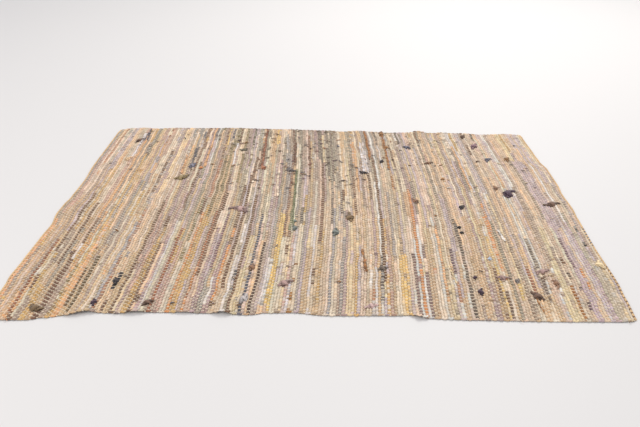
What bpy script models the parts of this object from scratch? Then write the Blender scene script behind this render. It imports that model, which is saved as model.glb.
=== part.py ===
"""A flat-woven rag rug lying on the floor, in metres, +Z up.

The origin is on the floor under the middle of the rug. X runs along the rug's length,
with the warp, and Y across it, with the weft. -Y is the near long edge.
"""

import math
from collections import namedtuple

import bmesh
import bpy

# Driving sizes
LENGTH = 2.349
WEFT_PASSES = 209
CREST = 0.0072  # cloth height along the middle of a weft pass
GROOVE = 0.0050  # cloth height between two passes
SELVEDGE_CREST = 0.0058
SELVEDGE_GROOVE = 0.0040
TURN_OUT = 0.0020  # how far a pass's turn stands out of the long edge
BOW = 0.012  # how far the middle of a pass lies past its two turns
WANDER = 0.0030  # how far a pass strays sideways from that bow
END_REACH = 0.12  # how far in an end's unevenness is felt, as a share of the rug's length
BAND_WIDTH = 0.0085
BAND_CREST = 0.0062
BAND_SIDE = 0.0045
GAP = 0.0003  # between the cloth and each heading
RUFFLE_REACH = 0.065  # how far in from a long edge a ruffle dies away
KNOT_BASE = 0.0047  # a knot is widest just below the grooves, so that nothing overhangs
KNOT_ROOT = 0.0020  # how far a knot reaches down from there into the cloth

# Where the grid's rows cross the cloth: the share of the way from the near edge to the far
ROWS = [0.0, 0.043, 0.36, 0.56, 0.745, 0.957, 1.0]

# The long edges: how far out the edge lies at a place along the rug's length
EdgePoint = namedtuple("EdgePoint", "along out")
NEAR_EDGE = [
    EdgePoint(-1.165, -0.828),
    EdgePoint(-1.090, -0.834),
    EdgePoint(-1.020, -0.832),
    EdgePoint(-0.970, -0.819),
    EdgePoint(-0.880, -0.804),
    EdgePoint(-0.800, -0.787),
    EdgePoint(-0.710, -0.790),
    EdgePoint(-0.550, -0.781),
    EdgePoint(-0.375, -0.782),
    EdgePoint(-0.220, -0.788),
    EdgePoint(-0.160, -0.776),
    EdgePoint(-0.060, -0.773),
    EdgePoint(0.060, -0.786),
    EdgePoint(0.290, -0.782),
    EdgePoint(0.365, -0.778),
    EdgePoint(0.410, -0.793),
    EdgePoint(0.590, -0.798),
    EdgePoint(0.870, -0.800),
    EdgePoint(1.120, -0.797),
    EdgePoint(1.165, -0.792),
]
FAR_EDGE = [
    EdgePoint(-1.165, 0.800),
    EdgePoint(-1.120, 0.818),
    EdgePoint(-1.030, 0.828),
    EdgePoint(-0.980, 0.814),
    EdgePoint(-0.840, 0.828),
    EdgePoint(-0.660, 0.828),
    EdgePoint(-0.520, 0.834),
    EdgePoint(-0.230, 0.822),
    EdgePoint(0.050, 0.810),
    EdgePoint(0.140, 0.797),
    EdgePoint(0.230, 0.808),
    EdgePoint(0.420, 0.787),
    EdgePoint(0.510, 0.791),
    EdgePoint(0.690, 0.788),
    EdgePoint(0.830, 0.789),
    EdgePoint(0.960, 0.772),
    EdgePoint(1.100, 0.784),
    EdgePoint(1.165, 0.774),
]

# The short ends, outside their headings: how far out the end lies at a place across the rug
LEFT_END = [
    EdgePoint(-0.830, -1.1620),
    EdgePoint(-0.640, -1.1690),
    EdgePoint(-0.590, -1.1745),
    EdgePoint(-0.490, -1.1700),
    EdgePoint(-0.320, -1.1655),
    EdgePoint(-0.220, -1.1595),
    EdgePoint(-0.120, -1.1725),
    EdgePoint(-0.050, -1.1695),
    EdgePoint(0.020, -1.1605),
    EdgePoint(0.180, -1.1555),
    EdgePoint(0.350, -1.1645),
    EdgePoint(0.750, -1.1615),
    EdgePoint(0.810, -1.1540),
]
RIGHT_END = [
    EdgePoint(-0.800, 1.1530),
    EdgePoint(-0.670, 1.1615),
    EdgePoint(-0.570, 1.1685),
    EdgePoint(-0.360, 1.1645),
    EdgePoint(-0.110, 1.1695),
    EdgePoint(-0.040, 1.1745),
    EdgePoint(0.100, 1.1685),
    EdgePoint(0.180, 1.1745),
    EdgePoint(0.350, 1.1725),
    EdgePoint(0.440, 1.1565),
    EdgePoint(0.530, 1.1515),
    EdgePoint(0.735, 1.1435),
    EdgePoint(0.785, 1.1380),
]

# The line that each short end keeps but for its unevenness, which the inner passes follow
EndRun = namedtuple("EndRun", "near far bow")
LEFT_RUN = EndRun(-1.164, -1.160, 0.0)
RIGHT_RUN = EndRun(1.155, 1.140, 0.024)

# Where a long edge rides up off the floor
Ruffle = namedtuple("Ruffle", "along half_width height")
NEAR_RUFFLES = [
    Ruffle(-0.825, 0.075, 0.012),
    Ruffle(-0.635, 0.070, 0.010),
    Ruffle(-0.460, 0.060, 0.005),
    Ruffle(-0.320, 0.050, 0.012),
    Ruffle(0.385, 0.040, 0.010),
]
FAR_RUFFLES = [
    Ruffle(0.556, 0.060, 0.012),
    Ruffle(0.690, 0.040, 0.005),
]

# The knots that join one rag to the next, where they stand up out of the cloth
Knot = namedtuple("Knot", "x y long wide high turn")
KNOTS = [
    Knot(-1.005, 0.650, 0.034, 0.020, 0.007, 60),
    Knot(-1.005, 0.420, 0.030, 0.018, 0.005, 80),
    Knot(-0.650, 0.350, 0.038, 0.022, 0.007, 65),
    Knot(-0.678, 0.222, 0.042, 0.032, 0.008, 20),
    Knot(-0.405, 0.540, 0.028, 0.018, 0.005, 30),
    Knot(-0.280, 0.333, 0.028, 0.020, 0.006, 100),
    Knot(-0.140, 0.310, 0.036, 0.020, 0.006, 150),
    Knot(-0.087, -0.225, 0.024, 0.016, 0.004, 90),
    Knot(-0.345, -0.070, 0.058, 0.028, 0.007, 160),
    Knot(0.230, 0.292, 0.026, 0.016, 0.004, 170),
    Knot(0.350, 0.760, 0.034, 0.018, 0.006, 85),
    Knot(0.363, 0.590, 0.028, 0.016, 0.005, 100),
    Knot(0.330, 0.420, 0.022, 0.016, 0.004, 70),
    Knot(0.477, 0.590, 0.028, 0.020, 0.006, 140),
    Knot(0.570, 0.405, 0.026, 0.018, 0.005, 20),
    Knot(0.807, 0.735, 0.032, 0.018, 0.006, 80),
    Knot(0.847, 0.615, 0.040, 0.026, 0.006, 70),
    Knot(0.885, 0.450, 0.028, 0.020, 0.006, 50),
    Knot(0.987, 0.457, 0.030, 0.018, 0.006, 75),
    Knot(0.462, 0.015, 0.028, 0.020, 0.006, 110),
    Knot(0.665, -0.037, 0.024, 0.018, 0.005, 60),
    Knot(0.907, 0.090, 0.052, 0.032, 0.010, 70),
    Knot(1.087, 0.000, 0.052, 0.030, 0.008, 30),
    Knot(0.153, -0.135, 0.042, 0.026, 0.007, 100),
    Knot(0.090, -0.255, 0.030, 0.022, 0.006, 90),
    Knot(0.274, -0.508, 0.026, 0.018, 0.005, 10),
    Knot(0.632, -0.648, 0.024, 0.016, 0.005, 90),
    Knot(0.732, -0.560, 0.030, 0.020, 0.006, 0),
    Knot(0.838, -0.670, 0.034, 0.026, 0.008, 120),
    Knot(0.900, -0.515, 0.042, 0.018, 0.005, 10),
    Knot(0.930, -0.590, 0.036, 0.024, 0.006, 100),
    Knot(-0.996, -0.775, 0.034, 0.024, 0.007, 150),
    Knot(-0.598, -0.735, 0.028, 0.020, 0.006, 40),
    Knot(-0.794, -0.738, 0.024, 0.016, 0.005, 90),
    Knot(-0.752, -0.610, 0.024, 0.018, 0.005, 90),
    Knot(-0.242, -0.512, 0.028, 0.018, 0.005, 80),
    Knot(-0.248, -0.706, 0.028, 0.024, 0.006, 60),
    Knot(-0.106, -0.610, 0.036, 0.026, 0.006, 45),
    Knot(0.220, -0.735, 0.036, 0.020, 0.006, 20),
    Knot(1.138, -0.468, 0.034, 0.022, 0.007, 90),
]
KNOT_SIDES = 6
KNOT_RINGS = 4


def follow(table, along):
    """How far out an edge lies at a place along it, eased from point to point."""
    if along <= table[0].along:
        return table[0].out
    for here, there in zip(table, table[1:]):
        if along <= there.along:
            share = (along - here.along) / (there.along - here.along)
            eased = 0.5 - 0.5 * math.cos(math.pi * share)
            return here.out + eased * (there.out - here.out)
    return table[-1].out


def ruffle_height(ruffles, along):
    """How far a long edge stands off the floor at a place along it."""
    height = 0.0
    for ruffle in ruffles:
        distance = abs(along - ruffle.along) / ruffle.half_width
        if distance < 1:
            height = max(height, ruffle.height * math.cos(0.5 * math.pi * distance) ** 2)
    return height


def lift(along, inside_near, inside_far):
    """How far the underside stands off the floor, some way in from the two long edges."""
    near_share = max(0.0, 1 - inside_near / RUFFLE_REACH)
    far_share = max(0.0, 1 - inside_far / RUFFLE_REACH)
    near = near_share * ruffle_height(NEAR_RUFFLES, along)
    far = far_share * ruffle_height(FAR_RUFFLES, along)
    return max(near, far)


def cloth_end(side, y):
    """Where the cloth stops under the heading at one short end."""
    if side < 0:
        return follow(LEFT_END, y) + BAND_WIDTH
    return follow(RIGHT_END, y) - BAND_WIDTH


def end_run(side, share_across):
    """Where the cloth would stop at one short end if that end were even."""
    run = LEFT_RUN if side < 0 else RIGHT_RUN
    straight = run.near + share_across * (run.far - run.near)
    return straight + run.bow * math.sin(math.pi * share_across) - side * BAND_WIDTH


def cloth_place(share_along, share_across, on_crest):
    """A point's x and y in the cloth, and how far it is in from each long edge."""
    along = LENGTH * (share_along - 0.5)
    turn = TURN_OUT if on_crest else 0.0
    near = follow(NEAR_EDGE, along) - turn
    far = follow(FAR_EDGE, along) + turn
    y = near + share_across * (far - near)
    x = 0.0
    for side, away in ((-1, share_along), (1, 1 - share_along)):
        run = end_run(side, share_across)
        uneven = cloth_end(side, y) - run
        x += (1 - away) * run + max(0.0, 1 - away / END_REACH) ** 2 * uneven
    sway = math.sin(2 * math.pi * (1.3 * share_across + 5.1 * share_along))
    inside = math.sin(math.pi * share_along) * math.sin(math.pi * share_across)
    x += (BOW + WANDER * sway) * inside
    return x, y, y - near, far - y


def end_line(side):
    """The cloth's straight runs from row to row along one short end, as (y, x) pairs."""
    share_along = 0.0 if side < 0 else 1.0
    line = []
    for share_across in ROWS:
        x, y, _, _ = cloth_place(share_along, share_across, False)
        line.append((y, x))
    return line


def on_line(line, y):
    """The x of a line of straight runs at a given y."""
    for (y_here, x_here), (y_there, x_there) in zip(line, line[1:]):
        if y <= y_there:
            return x_here + (x_there - x_here) * (y - y_here) / (y_there - y_here)
    return line[-1][1]


def new_collection(name):
    """A collection linked into the scene."""
    collection = bpy.data.collections.new(name)
    bpy.context.scene.collection.children.link(collection)
    return collection


def fabric(name, colour, roughness):
    """A plain cloth finish."""
    material = bpy.data.materials.new(name)
    material.use_nodes = True
    shader = material.node_tree.nodes["Principled BSDF"]
    shader.inputs["Base Color"].default_value = (*colour, 1)
    shader.inputs["Roughness"].default_value = roughness
    shader.inputs["Metallic"].default_value = 0.0
    return material


def object_from(bm, name, collection, parent, material):
    """Turns a bmesh into a named object with its faces pointing out."""
    bmesh.ops.recalc_face_normals(bm, faces=bm.faces[:])
    mesh = bpy.data.meshes.new(name)
    bm.to_mesh(mesh)
    bm.free()
    mesh.materials.append(material)
    piece = bpy.data.objects.new(name, mesh)
    piece.parent = parent
    collection.objects.link(piece)
    return piece


def thick_grid(columns, rows, underside, top):
    """A grid with a flat copy below it: the two functions place their points by column, row."""
    bm = bmesh.new()
    bmesh.ops.create_grid(bm, x_segments=columns, y_segments=rows, size=1)
    places = {}
    for vert in bm.verts:
        column = round((vert.co.x + 1) / 2 * columns)
        row = round((vert.co.y + 1) / 2 * rows)
        places[vert.co.copy().freeze()] = (column, row)
    grown = bmesh.ops.extrude_face_region(bm, geom=bm.faces[:])
    raised = {item for item in grown["geom"] if isinstance(item, bmesh.types.BMVert)}
    for vert in bm.verts:
        column, row = places[vert.co.copy().freeze()]
        vert.co = top(column, row) if vert in raised else underside(column, row)
    return bm


def make_cloth(collection, parent):
    """The woven cloth: a crest column for each weft pass, and a groove column between them."""
    columns = 2 * WEFT_PASSES
    rows = len(ROWS) - 1

    def underside(column, row):
        x, y, near, far = cloth_place(column / columns, ROWS[row], column % 2 == 1)
        return x, y, lift(x, near, far)

    def top(column, row):
        x, y, base = underside(column, row)
        at_selvedge = row in (0, rows)
        if column % 2 == 1:
            height = SELVEDGE_CREST if at_selvedge else CREST
        else:
            height = SELVEDGE_GROOVE if at_selvedge else GROOVE
        return x, y, base + height

    bm = thick_grid(columns, rows, underside, top)
    material = fabric("woven_rags", (0.52, 0.42, 0.31), 0.92)
    return object_from(bm, "rug_cloth", collection, parent, material)


def make_knots(collection, parent):
    """The rag knots as flattened lumps, one mesh, to be joined to the cloth."""
    bm = bmesh.new()
    for knot in KNOTS:
        made = bmesh.ops.create_uvsphere(
            bm, u_segments=KNOT_SIDES, v_segments=KNOT_RINGS, radius=1
        )
        angle = math.radians(knot.turn)
        for vert in made["verts"]:
            reach = vert.co.x * knot.long / 2
            across = vert.co.y * knot.wide / 2
            vert.co.x = knot.x + reach * math.cos(angle) - across * math.sin(angle)
            vert.co.y = knot.y + reach * math.sin(angle) + across * math.cos(angle)
            rise = CREST + knot.high - KNOT_BASE if vert.co.z > 0 else KNOT_ROOT
            vert.co.z = KNOT_BASE + vert.co.z * rise
    knots = object_from(bm, "knots", collection, parent, fabric("knots", (0.2, 0.15, 0.12), 0.9))
    knots.hide_render = True
    knots.display_type = "WIRE"
    return knots


def make_band(name, side, collection, parent):
    """The heading along one short end: a low rounded strip that follows the cloth's end."""
    outline = LEFT_END if side < 0 else RIGHT_END
    line = end_line(side)
    low, high = line[0][0], line[-1][0]
    crossings = [point.along for point in outline] + [y for y, _ in line]
    places = sorted({round(y, 4) for y in crossings if low < y < high})
    places = [low] + places + [high]

    def underside(column, row):
        y = places[row]
        inner = on_line(line, y) + side * GAP
        outer = follow(outline, y)
        share = column / 2 if side > 0 else 1 - column / 2
        return inner + share * (outer - inner), y, 0.0

    def top(column, row):
        x, y, _ = underside(column, row)
        return x, y, BAND_CREST if column == 1 else BAND_SIDE

    bm = thick_grid(2, len(places) - 1, underside, top)
    return object_from(bm, name, collection, parent, fabric(name, (0.60, 0.42, 0.27), 0.9))


def main():
    """Clears the scene and builds the rug."""
    for old in list(bpy.data.objects):
        bpy.data.objects.remove(old, do_unlink=True)
    rug = new_collection("rag_rug")
    cutters = new_collection("cutters")
    origin = bpy.data.objects.new("rug_origin", None)
    rug.objects.link(origin)

    cloth = make_cloth(rug, origin)
    knots = make_knots(cutters, origin)
    join = cloth.modifiers.new("raise_knots", "BOOLEAN")
    join.operation = "UNION"
    join.solver = "EXACT"
    join.object = knots
    make_band("end_band_left", -1, rug, origin)
    make_band("end_band_right", 1, rug, origin)


main()
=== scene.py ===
"""The looks of a hand-woven rag rug that lies on a pale floor.

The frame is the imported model's: its origin is on the floor under the rug's middle, +X runs
along the warp, +Y towards the far long edge and +Z up. Sizes are in metres.
"""
import math
from collections import namedtuple

import bpy
import numpy as np
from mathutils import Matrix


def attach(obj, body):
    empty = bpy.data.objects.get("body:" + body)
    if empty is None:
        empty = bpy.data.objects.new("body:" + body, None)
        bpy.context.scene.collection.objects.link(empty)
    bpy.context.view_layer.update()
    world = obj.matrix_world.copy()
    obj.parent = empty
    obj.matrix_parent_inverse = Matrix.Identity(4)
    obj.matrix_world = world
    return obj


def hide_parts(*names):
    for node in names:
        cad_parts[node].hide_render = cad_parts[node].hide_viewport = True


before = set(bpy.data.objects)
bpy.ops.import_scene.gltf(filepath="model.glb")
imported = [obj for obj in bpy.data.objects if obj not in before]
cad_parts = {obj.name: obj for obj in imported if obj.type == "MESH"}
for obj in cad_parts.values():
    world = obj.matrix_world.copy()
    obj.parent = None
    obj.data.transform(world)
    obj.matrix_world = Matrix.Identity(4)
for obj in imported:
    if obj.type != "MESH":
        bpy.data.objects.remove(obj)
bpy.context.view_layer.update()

SEED = 20817

# The woven cloth's own sizes, as in the frame
LENGTH = 2.349
WIDTH = 1.62
WEFT_PASSES = 209
TURN_OUT = 0.0020
BOW = 0.012
WANDER = 0.0030
END_REACH = 0.12
BAND_WIDTH = 0.0085
RUFFLE_REACH = 0.065
CREST = 0.0072
KNOT_BASE = 0.0047

EdgePoint = namedtuple("EdgePoint", "along out")
NEAR_EDGE = [EdgePoint(*row) for row in (
    (-1.165, -0.828), (-1.09, -0.834), (-1.02, -0.832), (-0.97, -0.819), (-0.88, -0.804),
    (-0.8, -0.787), (-0.71, -0.79), (-0.55, -0.781), (-0.375, -0.782), (-0.22, -0.788),
    (-0.16, -0.776), (-0.06, -0.773), (0.06, -0.786), (0.29, -0.782), (0.365, -0.778),
    (0.41, -0.793), (0.59, -0.798), (0.87, -0.8), (1.12, -0.797), (1.165, -0.792),
)]
FAR_EDGE = [EdgePoint(*row) for row in (
    (-1.165, 0.8), (-1.12, 0.818), (-1.03, 0.828), (-0.98, 0.814), (-0.84, 0.828),
    (-0.66, 0.828), (-0.52, 0.834), (-0.23, 0.822), (0.05, 0.81), (0.14, 0.797),
    (0.23, 0.808), (0.42, 0.787), (0.51, 0.791), (0.69, 0.788), (0.83, 0.789),
    (0.96, 0.772), (1.1, 0.784), (1.165, 0.774),
)]
LEFT_END = [EdgePoint(*row) for row in (
    (-0.83, -1.162), (-0.64, -1.169), (-0.59, -1.1745), (-0.49, -1.17), (-0.32, -1.1655),
    (-0.22, -1.1595), (-0.12, -1.1725), (-0.05, -1.1695), (0.02, -1.1605), (0.18, -1.1555),
    (0.35, -1.1645), (0.75, -1.1615), (0.81, -1.154),
)]
RIGHT_END = [EdgePoint(*row) for row in (
    (-0.8, 1.153), (-0.67, 1.1615), (-0.57, 1.1685), (-0.36, 1.1645), (-0.11, 1.1695),
    (-0.04, 1.1745), (0.1, 1.1685), (0.18, 1.1745), (0.35, 1.1725), (0.44, 1.1565),
    (0.53, 1.1515), (0.735, 1.1435), (0.785, 1.138),
)]

EndRun = namedtuple("EndRun", "near far bow")
LEFT_RUN = EndRun(-1.164, -1.160, 0.0)
RIGHT_RUN = EndRun(1.155, 1.140, 0.024)

Ruffle = namedtuple("Ruffle", "along half_width height")
NEAR_RUFFLES = [
    Ruffle(-0.825, 0.075, 0.012),
    Ruffle(-0.635, 0.070, 0.010),
    Ruffle(-0.460, 0.060, 0.005),
    Ruffle(-0.320, 0.050, 0.012),
    Ruffle(0.385, 0.040, 0.010),
]
FAR_RUFFLES = [
    Ruffle(0.556, 0.060, 0.012),
    Ruffle(0.690, 0.040, 0.005),
]

# The weave: a warp string crosses over every second pass, and pinches it
WARP_STRINGS = 178
RINGS = 2 * WARP_STRINGS + 1  # places along a pass: at each string and between strings
BULGE_HEIGHT = 0.0080
PINCH_HEIGHT = 0.0040
RAG_EDGE_HEIGHT = 0.0014
RAG_FULLNESS = 0.97  # a rag's width over its share of the cloth, halfway from pinch to bulge
RAG_SWELL = 0.37  # how much of that width a pinch takes away and a bulge adds
ACROSS = np.array([-1.0, -0.6, 0.0, 0.6, 1.0])  # places across a rag, in half widths
PROFILE = np.array([0.0, 0.80, 1.0, 0.80, 0.0])  # the share of its height a rag has there
STRING_WIDTH = 0.0048
STRING_STAND = 0.0007  # how far a string stands over the rag that it pinches
STRING_ROOT = 0.0030  # the height at which a string dives between two passes
STRING_REACH = np.array([-0.60, -0.26, 0.26, 0.60])  # its bends, in pass widths
STRING_ARCH = np.array([0, 1, 1, 0])  # how high it is at each bend, from its root to its top
STRING_ROUND = np.array([-0.0011, 0.0004, -0.0011])  # how far sides and middle lie off that height
STRING_SLANT = 0.0008
SEAM_WANDER = 0.0019  # how far the line between two passes strays
WAVER = 0.0011  # how far the passes waver together
WAVER_WAVES = 16
WAVER_SPREAD = 2.8  # the usual size of that many waves together
WAVER_REACH = 0.10  # how far in from a short end the full waver starts
RIPPLE = 0.0018  # how far the strings stray along a pass, as a share of it
UNEVEN = 0.0005  # how far a rag's height strays
CRUMPLE = 0.0004  # how far a point of a rag strays along it
CRUMPLE_UP = 0.00025
PUFF_LINE = -0.15  # the rags puff up more on the far side of this line
FAR_PUFF = 0.0036
NEAR_PUFF = 0.0016
PUFF_WIDENING = 120  # how much wider a rag gets for each metre that it puffs up

# The cloth's back, the turns at the long edges and the headings
BACK_ROWS = 60
BACK_RIB = 0.0004  # the back's height under the middle of a pass
BACK_GROOVE = 0.0021
# How much darker the back is painted: painted shade, as it shows deep in the grooves between passes.
BACK_PAINTED_SHADE = 0.72
TURN_ROOT = 0.0085  # how far in from the edge a turn starts
TURN_BULGE = (0.0038, 0.0076)
TURN_HEIGHT = 0.0033
TURN_SIZE = (0.0078, 0.0051)  # a turn's width and height
HEADING_STEP = 0.0026
HEADING_HEIGHT = 0.0033
HEADING_HALF = 0.0028  # half the cord's own height
HEADING_INSET = 0.002
HEADING_TAPER = 0.004  # how far from its end the cord grows thin
TWIST = 0.019  # the length of one turn of the cord
ACCENT_EVERY = 0.021

# The loose rags, their torn ends and the threads
LUMP_LONGER = 1.15  # a knot's folds draw it in, so its lump starts longer and wider
LUMP_WIDER = 1.2
LUMP_ROUGH = 0.0009
KNOT_TURN = 0.0034  # the thickness of the rag that goes over a knot
TAIL_ARCH = 0.0022  # how far a torn end stands up in its middle
TAIL_THICK = 0.0018
STRIP_STEP = 0.0045
STRIP_SWAY = 0.0022
STRIP_SINK = 0.0008  # how far a loose rag settles into the cloth
STRIP_LIFT = 0.0026  # how far it lifts off again, at most
STRIP_THICK = 0.0030
TORN_ENDS = 300
CROWDED_ENDS = 90  # these lie in the far middle of the rug
TORN_THICK = 0.0011
TORN_RISE = 0.006
THREAD_WIDTH = 0.0028
THREAD_HELD = 0.006  # how far in from the edge a thread starts
THREAD_DROP = 0.0022

# Colours as they look in daylight, in 8-bit sRGB
COLOURS = {
    "white": (214, 207, 198), "cream": (220, 200, 176), "string_cream": (224, 209, 184),
    "pale_yellow": (217, 195, 156), "yellow": (214, 180, 116), "gold": (198, 161, 107),
    "mustard": (187, 152, 100), "amber": (160, 112, 68), "dark_amber": (134, 99, 66),
    "orange": (205, 141, 93), "peach": (222, 188, 153), "peach_orange": (215, 167, 123),
    "pink": (214, 187, 168), "rose": (190, 156, 140), "red_tan": (176, 128, 100),
    "rust": (152, 102, 76), "tan": (196, 166, 131), "beige": (207, 181, 155),
    "taupe": (169, 148, 131), "dark_taupe": (118, 105, 94), "brown": (126, 96, 76),
    "dark_olive": (112, 92, 68), "dark_mauve": (140, 116, 110), "dark_brown": (98, 77, 65),
    "black": (56, 51, 51), "sage": (183, 167, 145), "pale_sage": (206, 192, 170),
    "grey_green": (154, 141, 123), "dark_green": (104, 97, 83), "olive": (134, 116, 84),
    "green": (128, 132, 98), "teal": (108, 112, 106), "grey": (160, 149, 141),
    "dark_grey": (110, 103, 100), "blue_grey": (160, 153, 150), "slate": (98, 96, 105),
    "pale_blue": (186, 198, 214), "lavender": (191, 174, 172), "lavender_white": (212, 202, 198),
    "lilac": (190, 169, 170), "mauve": (170, 145, 140), "plum": (126, 100, 104),
    "dark_purple": (76, 59, 69),
}

# What the rags between the charted stripes are, by the part of the rug they lie in
Zone = namedtuple("Zone", "x_to y_to colours")
ZONES = [Zone(*row) for row in (
    (-0.80, -0.10, "tan tan peach_orange peach_orange tan taupe gold taupe gold brown grey_green tan"),
    (-0.45, -0.10, "tan beige taupe brown mauve peach mustard sage taupe beige rose tan"),
    (-0.15, -0.10, "tan beige cream mauve peach tan gold pink lavender beige"),
    (0.20, -0.10, "cream beige beige tan pale_yellow pink lavender pale_sage tan taupe"),
    (0.60, -0.10, "beige cream cream tan pale_yellow pink lavender mauve white beige"),
    (1.00, -0.10, "beige tan tan lavender pale_yellow pink taupe beige peach cream"),
    (2.00, -0.10, "lavender lilac taupe beige pale_sage pink lavender sage grey"),
    (-0.80, 2.0, "peach peach tan beige beige pink cream taupe lavender rose pale_sage grey"),
    (-0.45, 2.0, "tan taupe beige grey mauve peach grey_green olive sage cream lavender brown"),
    (-0.15, 2.0, "taupe sage beige mauve taupe tan brown grey brown cream grey_green"),
    (0.15, 0.15, "taupe beige sage mauve tan cream brown grey peach cream"),
    (0.15, 2.0, "taupe dark_taupe sage grey_green mauve grey dark_taupe brown tan taupe"),
    (0.45, 2.0, "tan beige taupe lavender sage amber cream grey mauve brown beige"),
    (0.80, 2.0, "beige tan cream taupe lavender peach white mauve grey_green pink"),
    (2.00, 2.0, "cream peach beige pink lavender pale_yellow lavender_white taupe white peach"),
)]

# How one rag differs from the next
Rag = namedtuple("Rag", "shade other printed thicker fuller")
RAG_LENGTH = (0.08, 1.1)
RAG_SHADE = (0.88, 1.10)
RAG_HUE = (0.97, 1.03)
RAG_THICKER = (-0.0007, 0.0009)
RAG_FULLER = (0.84, 1.18)
RAG_THREAD = (900, 260, 700)  # how many of its fine threads fit in a metre, each way
PRINTED_SHARE = 0.45  # how many rags carry a small print
PRINT_STRENGTH = (0.25, 0.7)
PRINT_COLOURS = ["cream", "brown", "peach", "grey", "white", "dark_taupe"]

# The stripes that stand out: where each crosses the rug, from its far to its near end. A row
# without ends runs from -0.40 to the near edge, and one without a number of passes has one.
Stripe = namedtuple("Stripe", "colour x far near passes", defaults=(-0.40, -0.80, 1))
FAR_STRIPES = [Stripe(*row) for row in (
    ("red_tan", -1.11, 0.8, 0.25), ("lavender", -1.07, 0.82, 0.3, 2), ("peach", -1.035, 0.83, 0.5),
    ("peach_orange", -1.035, 0.5, 0.36), ("slate", -0.983, 0.82, 0.65),
    ("lavender_white", -0.996, 0.73, 0.45), ("gold", -0.935, 0.8, 0.62),
    ("grey_green", -0.91, 0.82, 0.4), ("peach", -0.89, 0.8, 0.3), ("rust", -0.855, 0.8, 0.6),
    ("peach_orange", -0.85, 0.6, 0.3), ("cream", -0.82, 0.8, 0.3), ("lavender", -0.795, 0.83, 0.65),
    ("mauve", -0.775, 0.83, 0.3, 2), ("pale_yellow", -0.755, 0.8, 0.3),
    ("blue_grey", -0.715, 0.82, 0.7), ("peach_orange", -0.695, 0.59, 0.26), ("cream", -0.69, 0.8, 0.6),
    ("slate", -0.655, 0.82, 0.68), ("lavender", -0.655, 0.68, 0.57), ("slate", -0.655, 0.57, 0.45),
    ("gold", -0.63, 0.8, 0.64), ("peach_orange", -0.595, 0.83, 0.35), ("slate", -0.583, 0.82, 0.7),
    ("white", -0.565, 0.82, 0.36), ("taupe", -0.54, 0.82, 0.3, 2), ("yellow", -0.51, 0.83, 0.42),
    ("red_tan", -0.505, 0.42, 0.3), ("slate", -0.488, 0.82, 0.68), ("olive", -0.475, 0.66, 0.3),
    ("lavender_white", -0.45, 0.62, 0.35), ("mauve", -0.44, 0.6, 0.3), ("cream", -0.428, 0.82, 0.3),
    ("olive", -0.41, 0.82, 0.3), ("dark_green", -0.368, 0.83, 0.6), ("olive", -0.36, 0.5, 0.35),
    ("peach_orange", -0.315, 0.82, 0.63), ("rust", -0.298, 0.83, 0.35),
    ("pale_sage", -0.275, 0.82, 0.3), ("yellow", -0.23, 0.8, 0.62, 2), ("pink", -0.2, 0.82, 0.3),
    ("blue_grey", -0.17, 0.75, 0.4), ("taupe", -0.155, 0.82, 0.5), ("brown", -0.13, 0.68, 0.36),
    ("cream", -0.117, 0.82, 0.3), ("green", -0.1, 0.31, -0.24), ("lavender", -0.066, 0.33, -0.05, 2),
    ("gold", -0.046, 0.06, -0.2), ("pink", -0.06, 0.82, 0.3), ("mauve", -0.03, 0.82, 0.65),
    ("taupe", -0.025, 0.65, 0.2, 2), ("pale_yellow", 0.015, 0.82, 0.4),
    ("dark_taupe", 0.045, 0.8, 0.25), ("grey_green", 0.057, 0.8, 0.15), ("dark_taupe", 0.07, 0.8, 0.2),
    ("grey_green", 0.09, 0.8, 0.1, 2), ("cream", 0.115, 0.8, 0.3), ("pale_yellow", 0.145, 0.5, 0.3),
    ("gold", 0.165, 0.8, 0.7, 2), ("pale_sage", 0.175, 0.7, 0.63), ("peach_orange", 0.177, 0.63, 0.4),
    ("peach_orange", 0.19, 0.65, 0.3), ("cream", 0.205, 0.8, 0.35), ("taupe", 0.22, 0.8, 0.3),
    ("lavender_white", 0.234, 0.65, 0.29, 2), ("amber", 0.258, 0.8, 0.42), ("white", 0.29, 0.8, 0.3),
    ("dark_taupe", 0.312, 0.8, 0.45), ("white", 0.324, 0.6, 0.35), ("amber", 0.358, 0.8, 0.3),
    ("blue_grey", 0.375, 0.78, 0.62), ("cream", 0.397, 0.8, 0.3, 2), ("white", 0.427, 0.78, 0.6),
    ("dark_green", 0.438, 0.78, 0.55), ("lavender", 0.47, 0.7, 0.62), ("gold", 0.503, 0.78, 0.72, 2),
    ("cream", 0.5, 0.55, 0.3), ("lavender", 0.52, 0.57, 0.3), ("cream", 0.53, 0.79, 0.6),
    ("brown", 0.541, 0.79, 0.65), ("cream", 0.545, 0.6, 0.35), ("rose", 0.565, 0.56, 0.42),
    ("grey_green", 0.605, 0.78, 0.6), ("pale_yellow", 0.64, 0.78, 0.3, 2),
    ("pale_sage", 0.688, 0.75, 0.45), ("peach_orange", 0.728, 0.6, 0.3), ("orange", 0.759, 0.21, 0.1),
    ("orange", 0.759, 0.0, -0.24), ("lavender_white", 0.74, 0.55, 0.3), ("gold", 0.745, 0.78, 0.55),
    ("cream", 0.757, 0.78, 0.3), ("lavender", 0.775, 0.78, 0.3, 2), ("brown", 0.813, 0.78, 0.5),
    ("cream", 0.832, 0.6, 0.3), ("dark_green", 0.852, 0.78, 0.68), ("peach_orange", 0.865, 0.78, 0.72),
    ("pale_sage", 0.88, 0.7, 0.3), ("peach_orange", 0.908, 0.36, 0.15), ("white", 0.926, 0.76, 0.08, 2),
    ("taupe", 0.946, 0.75, 0.4), ("pink", 0.96, 0.62, 0.31), ("pale_yellow", 1.01, 0.76, 0.3, 2),
    ("gold", 1.028, 0.76, 0.56), ("lilac", 1.05, 0.43, -0.2, 5), ("lavender", 1.105, 0.76, 0.2, 2),
    ("cream", 1.13, 0.76, 0.3),
)]
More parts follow.
